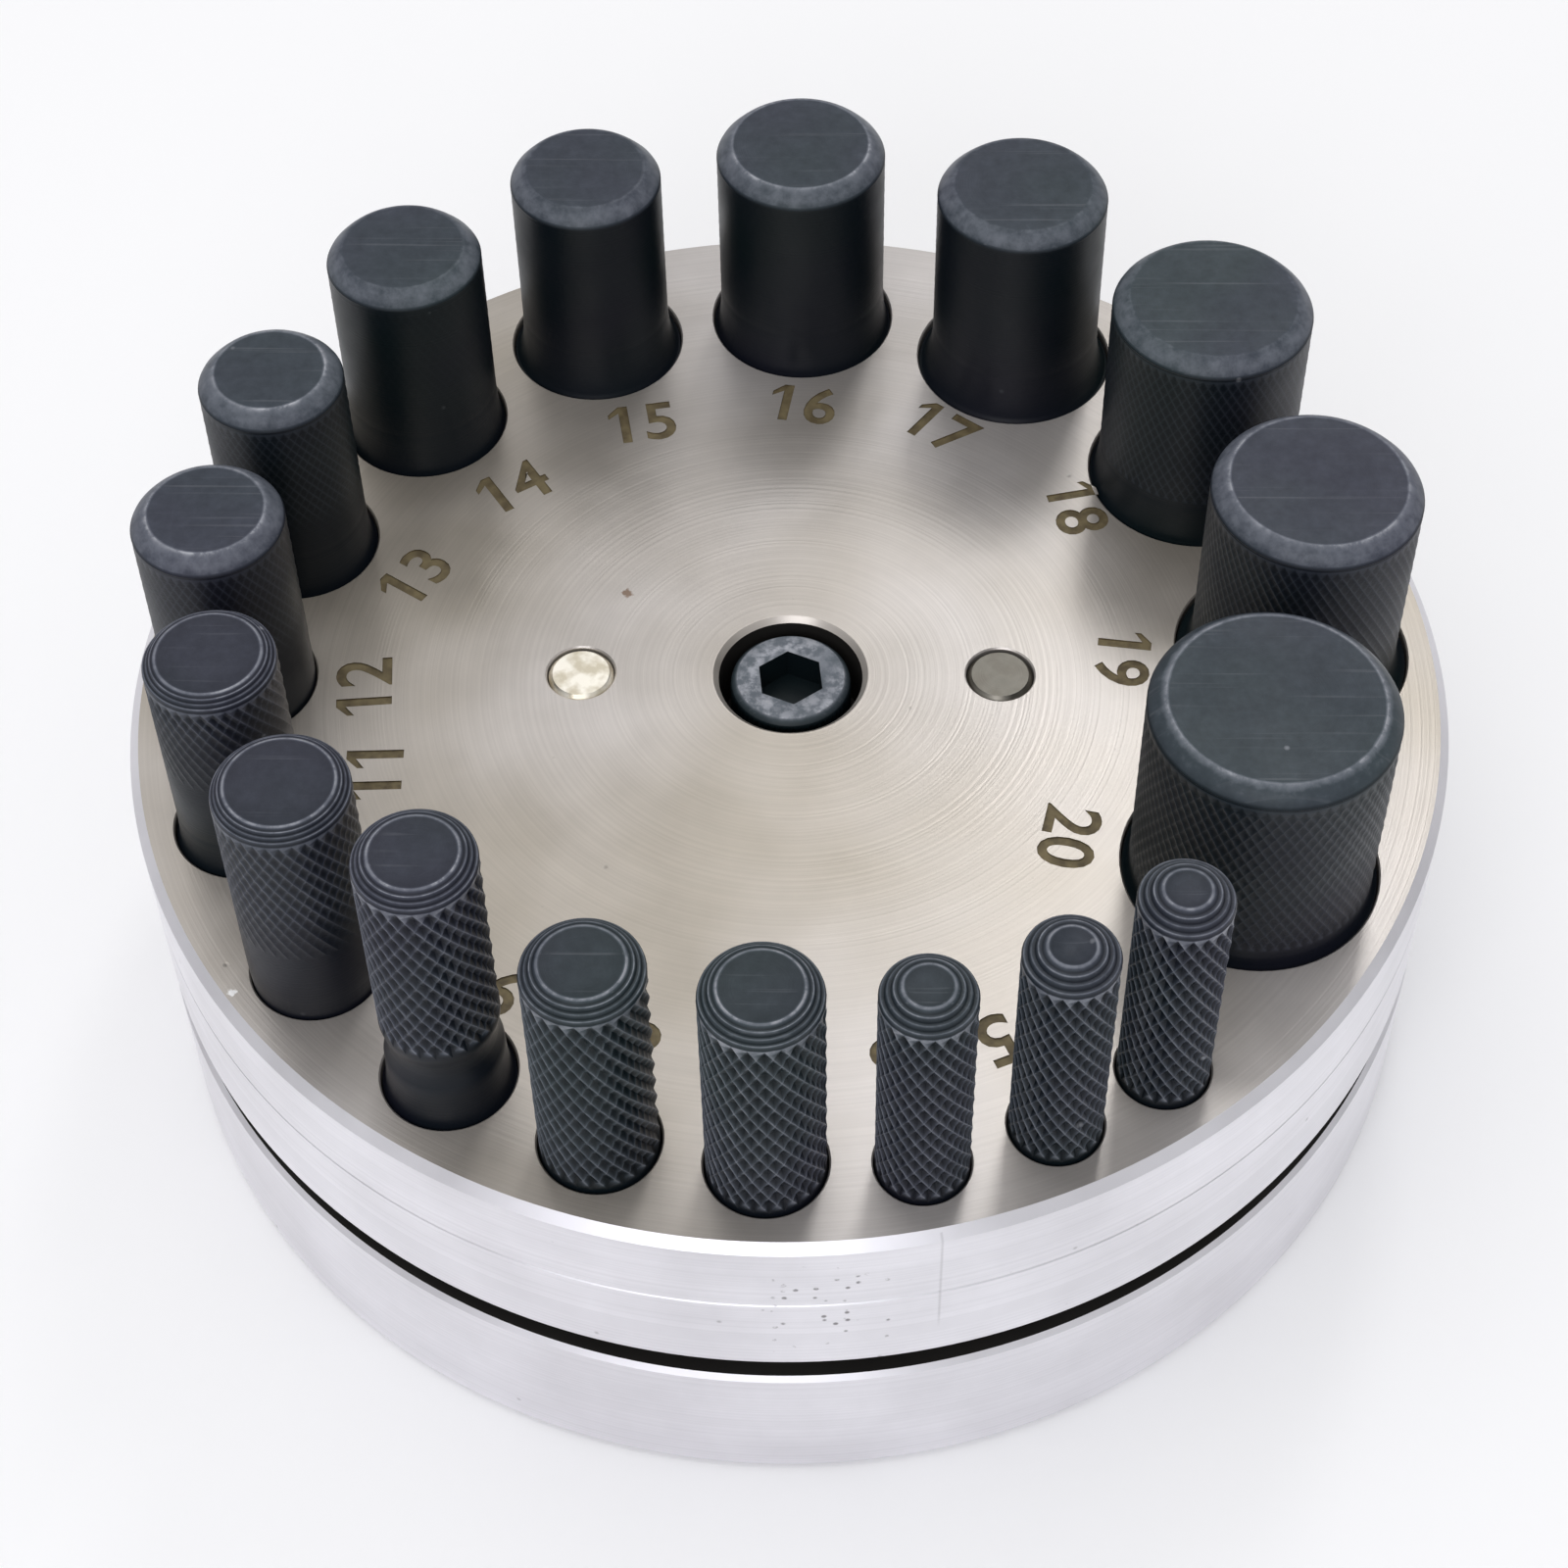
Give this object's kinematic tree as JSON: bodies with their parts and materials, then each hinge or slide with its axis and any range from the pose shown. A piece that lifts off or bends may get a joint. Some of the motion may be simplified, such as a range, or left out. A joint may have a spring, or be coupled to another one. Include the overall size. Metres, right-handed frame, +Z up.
{
  "type": "disc cutter",
  "caption": "Round punch-and-die block with a slot for sheet metal and a ring of loose knurled punches that cut discs.",
  "frame": {"origin": "middle of the underside of the block, on the bench", "axes": "+Z up along the punches, +X towards the right-hand dowel pin and the 19 mm punch"},
  "size_m": [0.108, 0.108, 0.0606],
  "materials": {
    "turned_steel": "turned and lightly oiled, fine concentric lines",
    "ground_pin_steel": "ground and polished",
    "black_screw_steel": "black oxide, satin",
    "blackened_tool_steel": "blackened and oiled, knurled grip"
  },
  "bodies": {
    "die_base": {"die_plate": "turned_steel", "spacer_disc": "turned_steel", "dowel_pin_left": "ground_pin_steel", "dowel_pin_right": "ground_pin_steel"},
    "clamped_plates": {"stripper_plate": "turned_steel", "guide_plate": "turned_steel"},
    "clamp_screw_body": {"clamp_screw": "black_screw_steel"},
    "punch_04_body": {"punch_04": "blackened_tool_steel"},
    "punch_05_body": {"punch_05": "blackened_tool_steel"},
    "punch_06_body": {"punch_06": "blackened_tool_steel"},
    "punch_07_body": {"punch_07": "blackened_tool_steel"},
    "punch_08_body": {"punch_08": "blackened_tool_steel"},
    "punch_09_body": {"punch_09": "blackened_tool_steel"},
    "punch_10_body": {"punch_10": "blackened_tool_steel"},
    "punch_11_body": {"punch_11": "blackened_tool_steel"},
    "punch_12_body": {"punch_12": "blackened_tool_steel"},
    "punch_13_body": {"punch_13": "blackened_tool_steel"},
    "punch_14_body": {"punch_14": "blackened_tool_steel"},
    "punch_15_body": {"punch_15": "blackened_tool_steel"},
    "punch_16_body": {"punch_16": "blackened_tool_steel"},
    "punch_17_body": {"punch_17": "blackened_tool_steel"},
    "punch_18_body": {"punch_18": "blackened_tool_steel"},
    "punch_19_body": {"punch_19": "blackened_tool_steel"},
    "punch_20_body": {"punch_20": "blackened_tool_steel"}
  },
  "joints": [
    {"name": "plate_lift", "type": "slide", "parent": "die_base", "child": "clamped_plates", "axis": [0, 0, 1], "range_m": [0, 0.003]},
    {"name": "screw_turn", "type": "hinge", "parent": "clamped_plates", "child": "clamp_screw_body", "pos_m": [0, 0, 0.03], "axis": [0, 0, 1], "range_deg": [0, 1080]},
    {"name": "punch_04_slide", "type": "slide", "parent": "clamped_plates", "child": "punch_04_body", "axis": [0, 0, 1], "range_m": [0, 0.04]},
    {"name": "punch_05_slide", "type": "slide", "parent": "clamped_plates", "child": "punch_05_body", "axis": [0, 0, 1], "range_m": [0, 0.04]},
    {"name": "punch_06_slide", "type": "slide", "parent": "clamped_plates", "child": "punch_06_body", "axis": [0, 0, 1], "range_m": [0, 0.04]},
    {"name": "punch_07_slide", "type": "slide", "parent": "clamped_plates", "child": "punch_07_body", "axis": [0, 0, 1], "range_m": [0, 0.04]},
    {"name": "punch_08_slide", "type": "slide", "parent": "clamped_plates", "child": "punch_08_body", "axis": [0, 0, 1], "range_m": [0, 0.04]},
    {"name": "punch_09_slide", "type": "slide", "parent": "clamped_plates", "child": "punch_09_body", "axis": [0, 0, 1], "range_m": [-0.0046, 0.04]},
    {"name": "punch_10_slide", "type": "slide", "parent": "die_base", "child": "punch_10_body", "axis": [0, 0, 1], "range_m": [0, 0.04]},
    {"name": "punch_11_slide", "type": "slide", "parent": "die_base", "child": "punch_11_body", "axis": [0, 0, 1], "range_m": [0, 0.04]},
    {"name": "punch_12_slide", "type": "slide", "parent": "die_base", "child": "punch_12_body", "axis": [0, 0, 1], "range_m": [0, 0.04]},
    {"name": "punch_13_slide", "type": "slide", "parent": "die_base", "child": "punch_13_body", "axis": [0, 0, 1], "range_m": [0, 0.04]},
    {"name": "punch_14_slide", "type": "slide", "parent": "die_base", "child": "punch_14_body", "axis": [0, 0, 1], "range_m": [0, 0.04]},
    {"name": "punch_15_slide", "type": "slide", "parent": "die_base", "child": "punch_15_body", "axis": [0, 0, 1], "range_m": [0, 0.04]},
    {"name": "punch_16_slide", "type": "slide", "parent": "die_base", "child": "punch_16_body", "axis": [0, 0, 1], "range_m": [0, 0.04]},
    {"name": "punch_17_slide", "type": "slide", "parent": "die_base", "child": "punch_17_body", "axis": [0, 0, 1], "range_m": [0, 0.04]},
    {"name": "punch_18_slide", "type": "slide", "parent": "die_base", "child": "punch_18_body", "axis": [0, 0, 1], "range_m": [0, 0.04]},
    {"name": "punch_19_slide", "type": "slide", "parent": "die_base", "child": "punch_19_body", "axis": [0, 0, 1], "range_m": [0, 0.04]},
    {"name": "punch_20_slide", "type": "slide", "parent": "die_base", "child": "punch_20_body", "axis": [0, 0, 1], "range_m": [0, 0.04]}
  ],
  "couplings": [
    {"joint": "screw_turn", "follows": "plate_lift", "rad_per_m": 6283.2}
  ]
}
